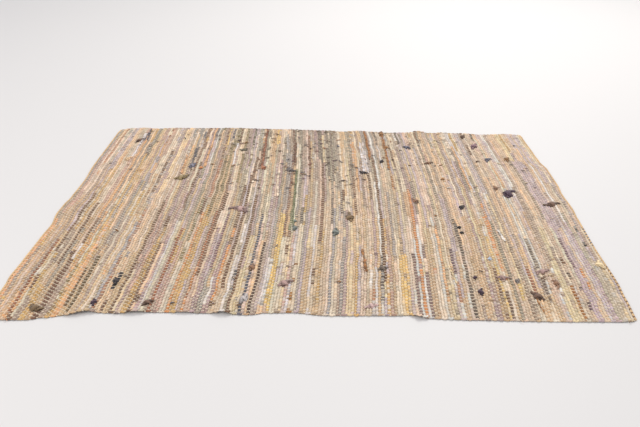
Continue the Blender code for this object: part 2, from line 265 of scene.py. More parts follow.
NEAR_STRIPES = [Stripe(*row) for row in (
    ("taupe", -1.14), ("pink", -1.12), ("rust", -1.09),
    ("pale_sage", -1.068, -0.43, -0.82), ("mustard", -1.056, -0.45, -0.7),
    ("tan", -1.036, -0.45, -0.72), ("grey_green", -1.01, -0.4, -0.65), ("white", -0.976, -0.37, -0.47),
    ("olive", -0.938, -0.5, -0.7), ("peach_orange", -0.914, -0.47, -0.82, 2),
    ("dark_olive", -0.89, -0.48, -0.76), ("dark_olive", -0.868, -0.46, -0.8), ("taupe", -0.838),
    ("cream", -0.812), ("blue_grey", -0.794, -0.4, -0.78), ("red_tan", -0.776),
    ("blue_grey", -0.756, -0.42, -0.57), ("black", -0.756, -0.57, -0.66),
    ("brown", -0.752, -0.66, -0.8), ("pale_yellow", -0.712, -0.55, -0.8, 2), ("mauve", -0.692),
    ("peach", -0.64), ("lavender_white", -0.618), ("pale_sage", -0.602),
    ("rust", -0.586), ("mustard", -0.57, -0.4, -0.5), ("mauve", -0.57, -0.5, -0.6),
    ("pale_sage", -0.54, -0.4, -0.8, 2), ("orange", -0.514), ("gold", -0.498),
    ("lavender", -0.484), ("rust", -0.468), ("orange", -0.457, -0.53, -0.8),
    ("plum", -0.402, -0.4, -0.52), ("mauve", -0.42, -0.59, -0.8), ("white", -0.382, -0.58, -0.74),
    ("orange", -0.366, -0.4, -0.72), ("lavender_white", -0.32), ("dark_grey", -0.304, -0.53, -0.66),
    ("pale_yellow", -0.284, -0.4, -0.8, 2), ("slate", -0.247), ("dark_brown", -0.212),
    ("white", -0.188, -0.46, -0.8, 2), ("yellow", -0.166, -0.4, -0.8, 2),
    ("pale_sage", -0.13, -0.4, -0.8, 3), ("rose", -0.098), ("lavender_white", -0.086),
    ("amber", -0.074, -0.5, -0.6), ("amber", -0.078, -0.68, -0.8), ("lavender_white", -0.01),
    ("brown", 0.002, -0.53, -0.62), ("gold", 0.02), ("pink", 0.052),
    ("blue_grey", 0.07), ("grey", 0.116), ("mauve", 0.128),
    ("pale_yellow", 0.146), ("gold", 0.166, -0.42, -0.8), ("lavender", 0.184),
    ("orange", 0.207, -0.38, -0.53), ("white", 0.229, -0.43, -0.64), ("red_tan", 0.226, -0.64, -0.73),
    ("dark_taupe", 0.262, -0.42, -0.8), ("gold", 0.291), ("rose", 0.304),
    ("yellow", 0.35, -0.42, -0.8, 3), ("pink", 0.384), ("dark_mauve", 0.398, -0.42, -0.8),
    ("white", 0.411, -0.3, -0.8), ("orange", 0.425, 0.12, -0.8), ("white", 0.436, -0.2, -0.8),
    ("dark_mauve", 0.447, -0.35, -0.8), ("orange", 0.486, -0.42, -0.54),
    ("dark_grey", 0.49, -0.54, -0.8), ("white", 0.501), ("peach_orange", 0.513, -0.2, -0.8),
    ("cream", 0.538, -0.4, -0.6), ("lavender", 0.536, -0.62, -0.8), ("plum", 0.558, -0.4, -0.54),
    ("red_tan", 0.55, -0.6, -0.75), ("white", 0.59, -0.48, -0.74), ("dark_taupe", 0.608, -0.15, -0.8),
    ("tan", 0.652, -0.4, -0.8, 3), ("brown", 0.704, -0.5, -0.8), ("yellow", 0.716),
    ("brown", 0.727, -0.58, -0.8), ("orange", 0.746, -0.4, -0.57), ("grey_green", 0.767),
    ("yellow", 0.78, -0.6, -0.72), ("taupe", 0.814, -0.4, -0.8, 2), ("rust", 0.842, -0.5, -0.66),
    ("dark_taupe", 0.888, -0.3, -0.5), ("brown", 0.9, -0.51, -0.57, 3),
    ("dark_taupe", 0.886, -0.57, -0.7), ("white", 0.938, -0.5, -0.64), ("white", 0.926, -0.67, -0.8),
    ("pale_yellow", 0.96, -0.4, -0.8, 2), ("taupe", 0.973, -0.35, -0.6), ("amber", 0.973, -0.6, -0.8),
    ("brown", 0.996, -0.42, -0.56), ("plum", 1.03, -0.4, -0.49), ("plum", 1.02, -0.62, -0.74),
    ("lilac", 1.038), ("orange", 1.05, -0.5, -0.62), ("lavender", 1.085, -0.2, -0.8, 3),
    ("pale_yellow", 1.135, -0.46, -0.8), ("black", 1.13, -0.18, -0.34),
)]
MIDDLE_BAND = (-0.40, 0.30)  # stripes that the chart ends here run on into the middle
SAME_PLACE = 0.01
RUN_ON = 0.34  # how far they run on, at most
BROKEN_SHARE = 0.5  # how many stripes another rag interrupts

# The knots that join one rag to the next
Knot = namedtuple("Knot", "x y long wide high turn colour")
KNOTS = [Knot(*row) for row in (
    (-1.005, 0.65, 0.034, 0.02, 0.007, 60, "dark_brown"),
    (-1.005, 0.42, 0.03, 0.018, 0.005, 80, "tan"),
    (-0.65, 0.35, 0.038, 0.022, 0.007, 65, "slate"),
    (-0.678, 0.222, 0.042, 0.032, 0.008, 20, "olive"),
    (-0.405, 0.54, 0.028, 0.018, 0.005, 30, "dark_green"),
    (-0.28, 0.333, 0.028, 0.02, 0.006, 100, "rust"),
    (-0.14, 0.31, 0.036, 0.02, 0.006, 150, "dark_grey"),
    (-0.087, -0.225, 0.024, 0.016, 0.004, 90, "teal"),
    (-0.345, -0.07, 0.058, 0.028, 0.007, 160, "dark_mauve"),
    (0.23, 0.292, 0.026, 0.016, 0.004, 170, "black"),
    (0.35, 0.76, 0.034, 0.018, 0.006, 85, "dark_amber"),
    (0.363, 0.59, 0.028, 0.016, 0.005, 100, "dark_amber"),
    (0.33, 0.42, 0.022, 0.016, 0.004, 70, "black"),
    (0.477, 0.59, 0.028, 0.02, 0.006, 140, "slate"),
    (0.57, 0.405, 0.026, 0.018, 0.005, 20, "brown"),
    (0.807, 0.735, 0.032, 0.018, 0.006, 80, "dark_brown"),
    (0.847, 0.615, 0.04, 0.026, 0.006, 70, "plum"),
    (0.885, 0.45, 0.028, 0.02, 0.006, 50, "slate"),
    (0.987, 0.457, 0.03, 0.018, 0.006, 75, "dark_amber"),
    (0.462, 0.015, 0.028, 0.02, 0.006, 110, "brown"),
    (0.665, -0.037, 0.024, 0.018, 0.005, 60, "black"),
    (0.907, 0.09, 0.052, 0.032, 0.01, 70, "dark_purple"),
    (1.087, 0.0, 0.046, 0.024, 0.008, 30, "dark_brown"),
    (0.153, -0.135, 0.042, 0.026, 0.007, 100, "dark_olive"),
    (0.09, -0.255, 0.03, 0.022, 0.006, 90, "teal"),
    (0.274, -0.508, 0.026, 0.018, 0.005, 10, "dark_taupe"),
    (0.632, -0.648, 0.024, 0.016, 0.005, 90, "dark_purple"),
    (0.732, -0.56, 0.03, 0.02, 0.006, 0, "dark_mauve"),
    (0.838, -0.67, 0.034, 0.022, 0.008, 120, "dark_brown"),
    (0.9, -0.515, 0.042, 0.013, 0.005, 10, "dark_mauve"),
    (0.93, -0.59, 0.034, 0.016, 0.006, 100, "brown"),
    (-0.996, -0.775, 0.034, 0.024, 0.007, 150, "dark_olive"),
    (-0.598, -0.735, 0.028, 0.02, 0.006, 40, "dark_brown"),
    (-0.794, -0.738, 0.024, 0.016, 0.005, 90, "dark_purple"),
    (-0.752, -0.61, 0.024, 0.018, 0.005, 90, "black"),
    (-0.242, -0.512, 0.028, 0.018, 0.005, 80, "brown"),
    (-0.248, -0.706, 0.028, 0.024, 0.006, 60, "blue_grey"),
    (-0.106, -0.61, 0.036, 0.026, 0.006, 45, "dark_mauve"),
    (0.22, -0.735, 0.028, 0.018, 0.006, 20, "mauve"),
    (1.138, -0.468, 0.034, 0.022, 0.007, 90, "pale_yellow"),
    (-0.6, 0.33, 0.018, 0.014, 0.004, 80, "orange"),
    (-0.09, -0.168, 0.018, 0.012, 0.003, 90, "teal"),
    (0.627, -0.205, 0.014, 0.012, 0.004, 90, "black"),
    (0.63, -0.247, 0.014, 0.012, 0.004, 70, "black"),
    (0.628, -0.56, 0.016, 0.012, 0.004, 90, "dark_purple"),
    (0.786, -0.576, 0.018, 0.012, 0.004, 60, "dark_grey"),
    (0.71, -0.436, 0.014, 0.012, 0.003, 90, "pale_blue"),
    (0.861, 0.145, 0.024, 0.016, 0.005, 75, "brown"),
    (0.829, 0.426, 0.016, 0.012, 0.004, 40, "dark_brown"),
    (0.621, 0.233, 0.018, 0.013, 0.004, 60, "dark_amber"),
)]

# Longer rag ends that lie loose on the cloth, from their far to their near end
Strip = namedtuple("Strip", "colour x far near width drift")
STRIPS = [Strip(*row) for row in (
    ("rust", -0.297, 0.81, 0.34, 0.009, 0.012),
    ("brown", -0.127, 0.64, 0.4, 0.011, 0.01),
    ("amber", 0.262, 0.8, 0.44, 0.01, 0.016),
    ("amber", 0.358, 0.8, 0.33, 0.01, 0.012),
    ("lavender_white", 0.228, 0.65, 0.3, 0.012, 0.014),
    ("lavender_white", -0.992, 0.74, 0.48, 0.011, 0.012),
    ("slate", -0.972, 0.8, 0.66, 0.01, 0.012),
    ("peach_orange", -0.694, 0.47, 0.26, 0.011, 0.012),
    ("dark_grey", -0.66, 0.56, 0.37, 0.01, 0.014),
    ("green", -0.103, 0.32, -0.24, 0.006, 0.012),
    ("peach_orange", -0.588, 0.6, 0.34, 0.01, 0.008),
    ("amber", 0.83, -0.67, -0.76, 0.006, 0.008),
    ("amber", 0.206, -0.38, -0.53, 0.01, 0.01),
    ("white", 0.796, -0.22, -0.31, 0.013, 0.012),
    ("cream", -0.192, 0.28, 0.04, 0.01, 0.012),
    ("pale_yellow", 0.546, -0.48, -0.6, 0.006, 0.012),
)]

# The stretches of the right heading that have dark turns of thread
Accent = namedtuple("Accent", "colour far near")
ACCENTS = [Accent("brown", -0.47, -0.79), Accent("slate", -0.19, -0.33)]

# Loose threads: the edge is -1 for the near one and 1 for the far one
Thread = namedtuple("Thread", "colour x edge length turn")
THREADS = [Thread(*row) for row in (
    ("dark_taupe", -0.71, -1, 0.022, 1.2),
    ("cream", -0.69, -1, 0.018, -0.8),
    ("tan", 0.737, -1, 0.02, 0.6),
    ("orange", -1.076, -1, 0.016, 0.3),
    ("brown", 1.13, -1, 0.02, -0.4),
    ("dark_taupe", -0.165, 1, 0.018, 0.5),
    ("white", 0.215, 1, 0.02, -0.3),
    ("dark_taupe", 0.35, 1, 0.018, 0.2),
)]

# The photograph's view
CAMERA_PLACE = (0.0705, -2.449, 1.461)
CAMERA_DOWN = 0.555
CAMERA_LEFT = 0.022
SENSOR = 36.0
FOCAL_PIXELS = 612.0
FRAME_PIXELS = 640.0

UP = np.array([0.0, 0.0, 1.0])
rng = np.random.default_rng(SEED)
vary = rng.uniform  # a random number between two limits, or between 0 and 1


def linear(colour):
    """A named colour as linear light."""
    value = np.array(COLOURS[colour], float) / 255
    return np.where(value <= 0.04045, value / 12.92, ((value + 0.055) / 1.055) ** 2.4)


def follow(points, along):
    """How far out an edge lies at places along it, eased from point to point."""
    at = np.array([point.along for point in points])
    out = np.array([point.out for point in points])
    here = np.clip(np.searchsorted(at, along) - 1, 0, len(at) - 2)
    share = np.clip((along - at[here]) / (at[here + 1] - at[here]), 0, 1)
    eased = 0.5 - 0.5 * np.cos(np.pi * share)
    return out[here] + eased * (out[here + 1] - out[here])


def ruffle_height(ruffles, along):
    """How far a long edge stands off the floor at places along it."""
    height = np.zeros_like(along)
    for ruffle in ruffles:
        distance = np.minimum(np.abs(along - ruffle.along) / ruffle.half_width, 1)
        height = np.maximum(height, ruffle.height * np.cos(0.5 * np.pi * distance) ** 2)
    return height


def lift(x, inside_near, inside_far):
    """How far the underside stands off the floor, some way in from the two long edges."""
    near = np.clip(1 - inside_near / RUFFLE_REACH, 0, 1) * ruffle_height(NEAR_RUFFLES, x)
    far = np.clip(1 - inside_far / RUFFLE_REACH, 0, 1) * ruffle_height(FAR_RUFFLES, x)
    return np.maximum(near, far)


def cloth_place(share_along, share_across, turn=0.0):
    """Places in the cloth: x, y and the height of the underside."""
    along = LENGTH * (share_along - 0.5)
    near = follow(NEAR_EDGE, along) - turn
    far = follow(FAR_EDGE, along) + turn
    y = near + share_across * (far - near)
    x = 0.0
    for run, outline, side, away in (
        (LEFT_RUN, LEFT_END, -1, share_along),
        (RIGHT_RUN, RIGHT_END, 1, 1 - share_along),
    ):
        even = run.near + share_across * (run.far - run.near)
        even = even + run.bow * np.sin(np.pi * share_across) - side * BAND_WIDTH
        uneven = follow(outline, y) - side * BAND_WIDTH - even
        x = x + (1 - away) * even + np.maximum(0, 1 - away / END_REACH) ** 2 * uneven
    sway = np.sin(2 * np.pi * (1.3 * share_across + 5.1 * share_along))
    inside = np.sin(np.pi * share_along) * np.sin(np.pi * share_across)
    x = x + (BOW + WANDER * sway) * inside
    return x, y, lift(x, y - near, far - y)


def drift(rows, count, every):
    """Smooth random numbers from -1 to 1 along each of several rows."""
    knots = vary(-1, 1, (rows, int(count / every) + 3))
    place = np.arange(count) / every + vary(0, 1, (rows, 1))
    left = place.astype(int)
    eased = 0.5 - 0.5 * np.cos(np.pi * (place - left))
    low = np.take_along_axis(knots, left, 1)
    high = np.take_along_axis(knots, left + 1, 1)
    return low + (high - low) * eased


def weave_drift(every):
    """Smooth random numbers along each pass."""
    return drift(WEFT_PASSES, RINGS, every)


def waver(x, y):
    """Smooth random numbers over the cloth, mostly from -2 to 2, alike for near places."""
    total = np.zeros_like(x)
    for _ in range(WAVER_WAVES):
        across, along, start = vary(-16, 16), vary(12, 60), vary(0, 6.3)
        total += np.sin(across * x + along * y + start)
    return total / WAVER_SPREAD


def grid_faces(rows, columns, closed=False):
    """The quads of a grid of points, row by row; closed joins the last column to the first."""
    index = np.arange(rows * columns).reshape(rows, columns)
    if closed:
        index = np.concatenate([index, index[:, :1]], axis=1)
    corners = [index[:-1, :-1], index[:-1, 1:], index[1:, 1:], index[1:, :-1]]
    return np.stack(corners, axis=-1).reshape(-1, 4)


def tube_faces(count, sides):
    """The faces of a tube of points, ring by ring, with both its ends closed."""
    faces = grid_faces(count, sides, closed=True).tolist()
    faces.append(list(range(sides))[::-1])
    faces.append(list(range((count - 1) * sides, count * sides)))
    return faces


class Pile:
    """Gathers the points, faces and point colours of one mesh."""

    def __init__(self):
        self.points = []
        self.faces = []
        self.colours = []
        self.count = 0

    def add(self, points, faces, colours):
        """Adds points with their colours, and faces that name them by place."""
        self.points.append(points.reshape(-1, 3))
        self.colours.append(np.broadcast_to(colours, points.shape).reshape(-1, 3))
        self.faces += [[corner + self.count for corner in face] for face in faces]
        self.count += len(self.points[-1])

    def add_grids(self, points, colours):
        """Adds many like grids of points at once: (grids, rows, columns, 3)."""
        grids, rows, columns, _ = points.shape
        faces = grid_faces(rows, columns)[None] + (np.arange(grids) * rows * columns)[:, None, None]
        self.faces += (faces.reshape(-1, 4) + self.count).tolist()
        self.points.append(points.reshape(-1, 3))
        self.colours.append(colours.reshape(-1, 3))
        self.count += grids * rows * columns

    def make(self, name, material):
        """Turns the pile into an object that lies where its points are."""
        points = np.concatenate(self.points)
        colours = np.clip(np.concatenate(self.colours), 0, 1)
        mesh = bpy.data.meshes.new(name)
        mesh.from_pydata(points.tolist(), [], self.faces)
        mesh.polygons.foreach_set("use_smooth", np.ones(len(mesh.polygons), bool))
        layer = mesh.color_attributes.new("rag_colour", "FLOAT_COLOR", "POINT")
        opaque = np.concatenate([colours, np.ones((len(colours), 1))], axis=1)
        layer.data.foreach_set("color", opaque.ravel().astype(np.float32))
        low = points.min(0)[:2]
        size = np.maximum(points.max(0)[:2] - low, 1e-4)
        uv_map(mesh, "from_above", (points[:, :2] - low) / size)
        mesh.materials.append(material)
        piece = bpy.data.objects.new(name, mesh)
        bpy.context.scene.collection.objects.link(piece)
        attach(piece, "root")
        return piece


def uv_map(mesh, name, places):
    """A UV map from one place for each point of a mesh."""
    corners = np.zeros(len(mesh.loops), np.int32)
    mesh.loops.foreach_get("vertex_index", corners)
    layer = mesh.uv_layers.new(name=name)
    layer.data.foreach_set("uv", places[corners].ravel().astype(np.float32))


def tube(pile, path, widths, heights, colour, sides=8, rough=0.0):
    """A flattened tube along a path, closed at both ends: a rag's tail, a loop or a thread."""
    path = np.asarray(path, float)
    count = len(path)
    ahead = np.gradient(path, axis=0)
    ahead /= np.linalg.norm(ahead, axis=1, keepdims=True)
    side = np.cross(ahead, UP)
    side /= np.maximum(np.linalg.norm(side, axis=1, keepdims=True), 1e-9)
    up = np.cross(side, ahead)
    angle = -2 * np.pi * np.arange(sides) / sides
    half_width = np.broadcast_to(widths, count)[:, None, None] / 2
    half_height = np.broadcast_to(heights, count)[:, None, None] / 2
    across = np.cos(angle)[None, :, None] * side[:, None] * half_width
    above = np.sin(angle)[None, :, None] * up[:, None] * half_height
    crumple = 1 + rough * vary(-1, 1, (count, sides, 1))
    points = path[:, None] + (across + above) * crumple
    if np.ndim(colour) == 2:
        colour = np.asarray(colour)[:, None]
    pile.add(points, tube_faces(count, sides), colour)


def set_inputs(node, **values):
    """Sets a shader node's inputs, or links them where the value is another node's output.

    An underscore stands for a space in an input's name.
    """
    for name, value in values.items():
        entry = node.inputs[name.replace("_", " ")]
        if isinstance(value, bpy.types.NodeSocket):
            node.id_data.links.new(value, entry)
        else:
            entry.default_value = value


def add_node(material, kind, **values):
    """Adds a shader node to a material and sets its inputs."""
    node = material.node_tree.nodes.new("ShaderNode" + kind)
    set_inputs(node, **values)
    return node


def add_math(material, operation, *values):
    """The output of a new Math node."""
    node = add_node(material, "Math")
    node.operation = operation
    for entry, value in zip(node.inputs, values):
        if isinstance(value, float):
            entry.default_value = value
        else:
            node.id_data.links.new(value, entry)
    return node.outputs["Value"]


def new_material(name, **values):
    """A material and its shader, with some of the shader's inputs set."""
    material = bpy.data.materials.new(name)
    material.use_nodes = True
    shader = material.node_tree.nodes["Principled BSDF"]
    set_inputs(shader, **values)
    return material, shader


def cloth_material(name, thread, depth, roughness, sheen):
    """Matt cotton that takes its colour from its points, with fine threads that mottle it, and creases.
    """
    material, shader = new_material(
        name, Roughness=roughness, Sheen_Weight=sheen, Sheen_Roughness=0.6, Specular_IOR_Level=0.15
    )
    place = add_node(material, "TexCoord").outputs["Object"]
    place = add_node(material, "Mapping", Vector=place, Scale=thread).outputs["Vector"]
    threads = add_node(material, "TexNoise", Vector=place, Scale=1.0, Detail=3.0, Roughness=0.65)
    creases = add_node(material, "TexNoise", Vector=place, Scale=0.3, Detail=2.0)

    mottle = add_node(material, "MapRange", From_Min=0.3, From_Max=0.7, To_Min=0.84, To_Max=1.10)
    set_inputs(mottle, Value=threads.outputs["Fac"])
    dyed = add_node(material, "Attribute")
    dyed.attribute_name = "rag_colour"
    faded = add_node(material, "VectorMath")
    faded.operation = "SCALE"
    set_inputs(faded, Vector=dyed.outputs["Color"], Scale=mottle.outputs["Result"])
    set_inputs(shader, Base_Color=faded.outputs["Vector"])

    folds = add_node(material, "Bump", Height=creases.outputs["Fac"], Strength=0.7, Distance=3 * depth)
    relief = add_node(material, "Bump", Height=threads.outputs["Fac"], Strength=0.6, Distance=depth)
    set_inputs(relief, Normal=folds.outputs["Normal"])
    set_inputs(shader, Normal=relief.outputs["Normal"])
    return material


def back_material(name):
    """The rags' cotton as the underside shows it: pinched under each dash of warp string."""
    material = cloth_material(name, RAG_THREAD, 0.0006, 0.92, 0.15)
    shader = material.node_tree.nodes["Principled BSDF"]
    place = add_node(material, "UVMap")
    place.uv_map = "weave"
    counts = add_node(material, "SeparateXYZ", Vector=place.outputs["UV"]).outputs
    over_pass = add_math(material, "SINE", add_math(material, "MULTIPLY", counts["X"], math.pi))
    over_string = add_math(material, "SINE", add_math(material, "MULTIPLY", counts["Y"], math.pi))
    bulge = add_math(material, "MULTIPLY", over_pass, over_string)
    narrow = add_math(material, "MULTIPLY", over_string, over_string)
    dash = add_math(material, "MULTIPLY", bulge, narrow)
    dash = add_node(material, "MapRange", Value=dash, From_Min=-0.16, From_Max=-0.32)
    string = add_node(material, "Mix")
    string.data_type = "RGBA"
    before = shader.inputs["Base Color"].links[0].from_socket
    set_inputs(string, Factor=dash.outputs["Result"], A=before, B=(*linear("string_cream"), 1))
    before = shader.inputs["Normal"].links[0].from_socket
    relief = add_node(material, "Bump", Height=bulge, Distance=0.0016, Normal=before)
    set_inputs(shader, Base_Color=string.outputs["Result"], Normal=relief.outputs["Normal"])
    return material


class Weave:
    """The lattice of passes and warp strings, and the rag that lies at each place of it."""

    def __init__(self):
        self.string_place = np.arange(RINGS) / 2
        seam = np.arange(WEFT_PASSES + 1)[:, None] / WEFT_PASSES
        stray = drift(WEFT_PASSES + 1, RINGS, 31) + 0.45 * drift(WEFT_PASSES + 1, RINGS, 5)
        stray[[0, -1]] = 0
        seams = seam + stray * SEAM_WANDER / LENGTH
        self.middle = (seams[1:] + seams[:-1]) / 2
        self.width = (seams[1:] - seams[:-1]) * (LENGTH - 2 * BAND_WIDTH)
        rows = np.broadcast_to(self.string_place / WARP_STRINGS, self.middle.shape)
        ripple = np.sin(2 * np.pi * (2.6 * self.middle + 0.8 * rows))
        ripple += 0.6 * np.sin(2 * np.pi * (6.3 * self.middle - 1.7 * rows) + 1.0)
        edge_free = np.sin(np.pi * rows)
        rows = rows + RIPPLE * ripple * edge_free
        self.x, self.y, self.base = cloth_place(self.middle, rows, TURN_OUT)
        from_end = np.minimum(self.middle, 1 - self.middle) * LENGTH
        self.x = self.x + WAVER * waver(self.x, self.y) * np.clip(from_end / WAVER_REACH, 0, 1)
        number = np.arange(WEFT_PASSES)[:, None]
        self.pinch = np.cos(np.pi * (self.string_place - 0.5 + number))
        crumpled = np.clip(weave_drift(3.4) - 0.5, 0, 1)
        self.puff = crumpled * np.where(self.y > PUFF_LINE, FAR_PUFF, NEAR_PUFF)
        self.rag = np.zeros(self.middle.shape, int)
        self.rags = []

    def new_rag(self, colour):
        """Adds a rag of a named colour, with its own shade and perhaps a print."""
        shade = linear(colour) * vary(*RAG_SHADE) * vary(*RAG_HUE, 3)
        other = linear(rng.choice(PRINT_COLOURS))
        printed = vary(*PRINT_STRENGTH) if vary() < PRINTED_SHARE else vary(0, 0.1)
        self.rags.append(Rag(shade, other, printed, vary(*RAG_THICKER), vary(*RAG_FULLER)))
        return len(self.rags) - 1

    def deal(self):
        """Lays rag after rag back and forth across the rug."""
        left = 0
        rag = 0
        step = WIDTH / (RINGS - 1)
        for number in range(WEFT_PASSES):
            rings = range(RINGS) if number % 2 == 0 else range(RINGS - 1, -1, -1)
            for ring in rings:
                if left <= 0:
                    rag = self.new_rag(zone_colour(self.x[number, ring], self.y[number, ring]))
                    left = vary(*RAG_LENGTH)
                self.rag[number, ring] = rag
                left -= step

    def lay_stripe(self, stripe):
        """Puts a charted stripe over the passes where it lies."""
        far, near = stripe.far, stripe.near
        if abs(near - MIDDLE_BAND[1]) < SAME_PLACE:
            near -= vary(0, RUN_ON)
        if abs(far - MIDDLE_BAND[0]) < SAME_PLACE:
            far += vary(0, RUN_ON)
        ring = np.abs(self.y[WEFT_PASSES // 2] - (stripe.far + stripe.near) / 2).argmin()
        nearest = np.abs(self.x[:, ring] - stripe.x).argmin()
        first = nearest - (stripe.passes - 1) // 2
        for number in range(first, min(first + stripe.passes, WEFT_PASSES)):
            covered = (self.y[number] <= far + vary(0, 0.02)) & (self.y[number] >= near)
            if vary() < BROKEN_SHARE:
                break_at = vary(near, far)
                covered &= np.abs(self.y[number] - break_at) > vary(0.01, 0.05)
            self.rag[number, covered] = self.new_rag(stripe.colour)

    def rags_have(self, column):
        """One of the rags' own numbers or colours, at each place."""
        return np.array([getattr(rag, column) for rag in self.rags])[self.rag]

    def heights(self):
        """The top of each rag at each ring, over the underside."""
        middle = (BULGE_HEIGHT + PINCH_HEIGHT) / 2
        swing = (BULGE_HEIGHT - PINCH_HEIGHT) / 2
        height = middle - swing * self.pinch + UNEVEN * weave_drift(2.3)
        height = height + self.rags_have("thicker") + self.puff
        from_edge = np.minimum(self.string_place, WARP_STRINGS - self.string_place)
        return height * np.interp(from_edge, [0, 0.5, 1.0], [0.60, 0.86, 1.0])

    def colours(self):
        """The colour of each rag at each ring, with a random mottle and print."""
        shade = self.rags_have("shade")
        other = self.rags_have("other")
        printed = self.rags_have("printed")
        figure = np.clip(weave_drift(2.6) * 1.8, 0, 1) * printed
        mottle = 1 + 0.12 * weave_drift(9) + 0.20 * weave_drift(1.7)
        warmth = 0.05 * weave_drift(6)
        tint = np.stack([1 + warmth, np.ones_like(warmth), 1 - warmth], axis=-1)
        return (shade + (other - shade) * figure[..., None]) * mottle[..., None] * tint

    def top_at(self, x, y):
        """The height of the cloth's surface near a place."""
        number = np.abs(self.x[:, RINGS // 2] - x).argmin()
        ring = np.abs(self.y[number] - y).argmin()
        number = np.abs(self.x[:, ring] - x).argmin()
        return self.base[number, ring] + CREST


def zone_colour(x, y):
    """A rag colour for a place, drawn from its zone's list."""
    for zone in ZONES:
        if x < zone.x_to and y < zone.y_to:
            return rng.choice(zone.colours.split())
    return "tan"


def make_weft(weave, material):
    """The rags: one ribbon for each pass, pinched by every second string."""
    heights = weave.heights()
    colours = weave.colours()
    body = weave.rags_have("fuller") + PUFF_WIDENING * weave.puff
    half = weave.width * (RAG_FULLNESS - RAG_SWELL * weave.pinch) / 2 * body
    lean = 0.20 * weave_drift(5)
    crumple = vary(-1, 1, (*weave.x.shape, len(ACROSS)))
    side_share = ACROSS + lean[..., None] * (1 - np.abs(ACROSS))
    points = np.empty((*weave.x.shape, len(ACROSS), 3))
    points[..., 0] = weave.x[..., None] + side_share * half[..., None]
    points[..., 1] = weave.y[..., None] + CRUMPLE * crumple
    rise = heights[..., None] - RAG_EDGE_HEIGHT
    points[..., 2] = weave.base[..., None] + RAG_EDGE_HEIGHT + PROFILE * rise
    points[..., 2] += CRUMPLE_UP * crumple[..., ::-1] * PROFILE
    shades = colours[..., None, :] * (1 + 0.09 * crumple[..., None])
    # Painted shade: each rag is painted darker towards its edges, where it dips into the grooves
    # between passes.
    shades = shades * (0.74 + 0.26 * PROFILE)[:, None]
    weave.tops = points[:, :, len(ACROSS) // 2]
    weave.shades = colours
    pieces = []
    bounds = np.linspace(0, WEFT_PASSES, 5).astype(int)
    for number, (first, last) in enumerate(zip(bounds, bounds[1:])):
        pile = Pile()
        pile.add_grids(points[first:last], shades[first:last])
        pieces.append(pile.make(f"weft_{number + 1}", material))
        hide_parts("rug_cloth")
    return pieces


def make_strings(weave, material):
    """The warp strings where they show: a short arch over every second pass."""
    number, string = np.meshgrid(np.arange(WEFT_PASSES), np.arange(WARP_STRINGS), indexing="ij")
    over = (number + string) % 2 == 0
    number, string = number[over], string[over]
    ring = 2 * string + 1
    count = len(number)
    crest = weave.tops[number, ring]
    width = STRING_WIDTH * vary(0.82, 1.15, count)
    low = weave.base[number, ring] + STRING_ROOT
    high = crest[:, 2] + STRING_STAND * vary(0.6, 1.2, count)
    slant = vary(-STRING_SLANT, STRING_SLANT, count)
    points = np.empty((count, len(STRING_REACH), 3, 3))
    reach = STRING_REACH * weave.width[number, ring][:, None]
    points[..., 0] = (crest[:, 0, None] + reach)[..., None]
    centre = crest[:, 1, None] + slant[:, None] * np.sign(STRING_REACH)
    points[..., 1] = centre[..., None] + width[:, None, None] * np.array([0.5, 0, -0.5])
    line = low[:, None] + STRING_ARCH * (high - low)[:, None]
    points[..., 2] = line[..., None] + STRING_ROUND
    tone = linear("string_cream") * vary(0.82, 1.06, (WARP_STRINGS, 1))
    shades = tone[string] * vary(0.90, 1.08, (count, 1))
    shades = np.broadcast_to(shades[:, None, None], points.shape)
    pieces = []
    for half, name in ((number < WEFT_PASSES // 2, "left"), (number >= WEFT_PASSES // 2, "right")):
        pile = Pile()
        pile.add_grids(points[half], shades[half])
        pieces.append(pile.make(f"warp_strings_{name}", material))
    return pieces


def make_underside(weave, material):
    """The cloth's ribbed back, which also closes the grooves seen from above."""
    columns = 2 * WEFT_PASSES + 1
    u = np.arange(columns)[:, None] / (columns - 1)
    v = np.arange(BACK_ROWS + 1)[None] / BACK_ROWS
    x, y, base = cloth_place(u + 0 * v, v + 0 * u)
    rib = np.where(np.arange(columns) % 2 == 1, BACK_RIB, BACK_GROOVE)[:, None]
    points = np.stack([x, y, base + rib], axis=-1)
    number = np.minimum(np.arange(columns) // 2, WEFT_PASSES - 1)
    ring = (v[0] * (RINGS - 1)).astype(int)
    # Painted shade: the back takes the rags' colours, darkened as the shade in the grooves.
    shades = weave.shades[number[:, None], ring[None]] * BACK_PAINTED_SHADE
    pile = Pile()
    pile.add_grids(points[::-1][None], shades[::-1][None])
    back = pile.make("cloth_back", material)
    passes = np.broadcast_to(u * WEFT_PASSES, x.shape)[::-1]
    strings = np.broadcast_to(v * WARP_STRINGS, x.shape)[::-1]
    uv_map(back.data, "weave", np.stack([passes.ravel(), strings.ravel()], axis=-1))
    return back


def make_turns(weave, material):
    """The loops in which a rag turns back into the cloth at a long edge."""
    pile = Pile()
    turn = np.linspace(0, np.pi, 8)
    for number in range(WEFT_PASSES - 1):
        at_far = number % 2 == 0
        ring = RINGS - 1 if at_far else 0
        out = 1 if at_far else -1
        here, there = weave.tops[number, ring], weave.tops[number + 1, ring]
        middle = (here[0] + there[0]) / 2
        reach = abs(there[0] - here[0]) / 2
        inner = (here[1] + there[1]) / 2 - out * TURN_ROOT
        bulge = vary(*TURN_BULGE)
        path = np.stack([
            middle - reach * np.cos(turn),
            inner + out * bulge * np.sin(turn) ** 0.7,
            np.full(len(turn), weave.base[number, ring] + TURN_HEIGHT + vary(-0.0002, 0.0006)),
        ], axis=1)
        size = vary(0.80, 1.20)
        shade = weave.shades[number, ring] * vary(0.9, 1.05)
        tube(pile, path, TURN_SIZE[0] * size, TURN_SIZE[1] * size, shade)
    return pile.make("selvedge_turns", material)


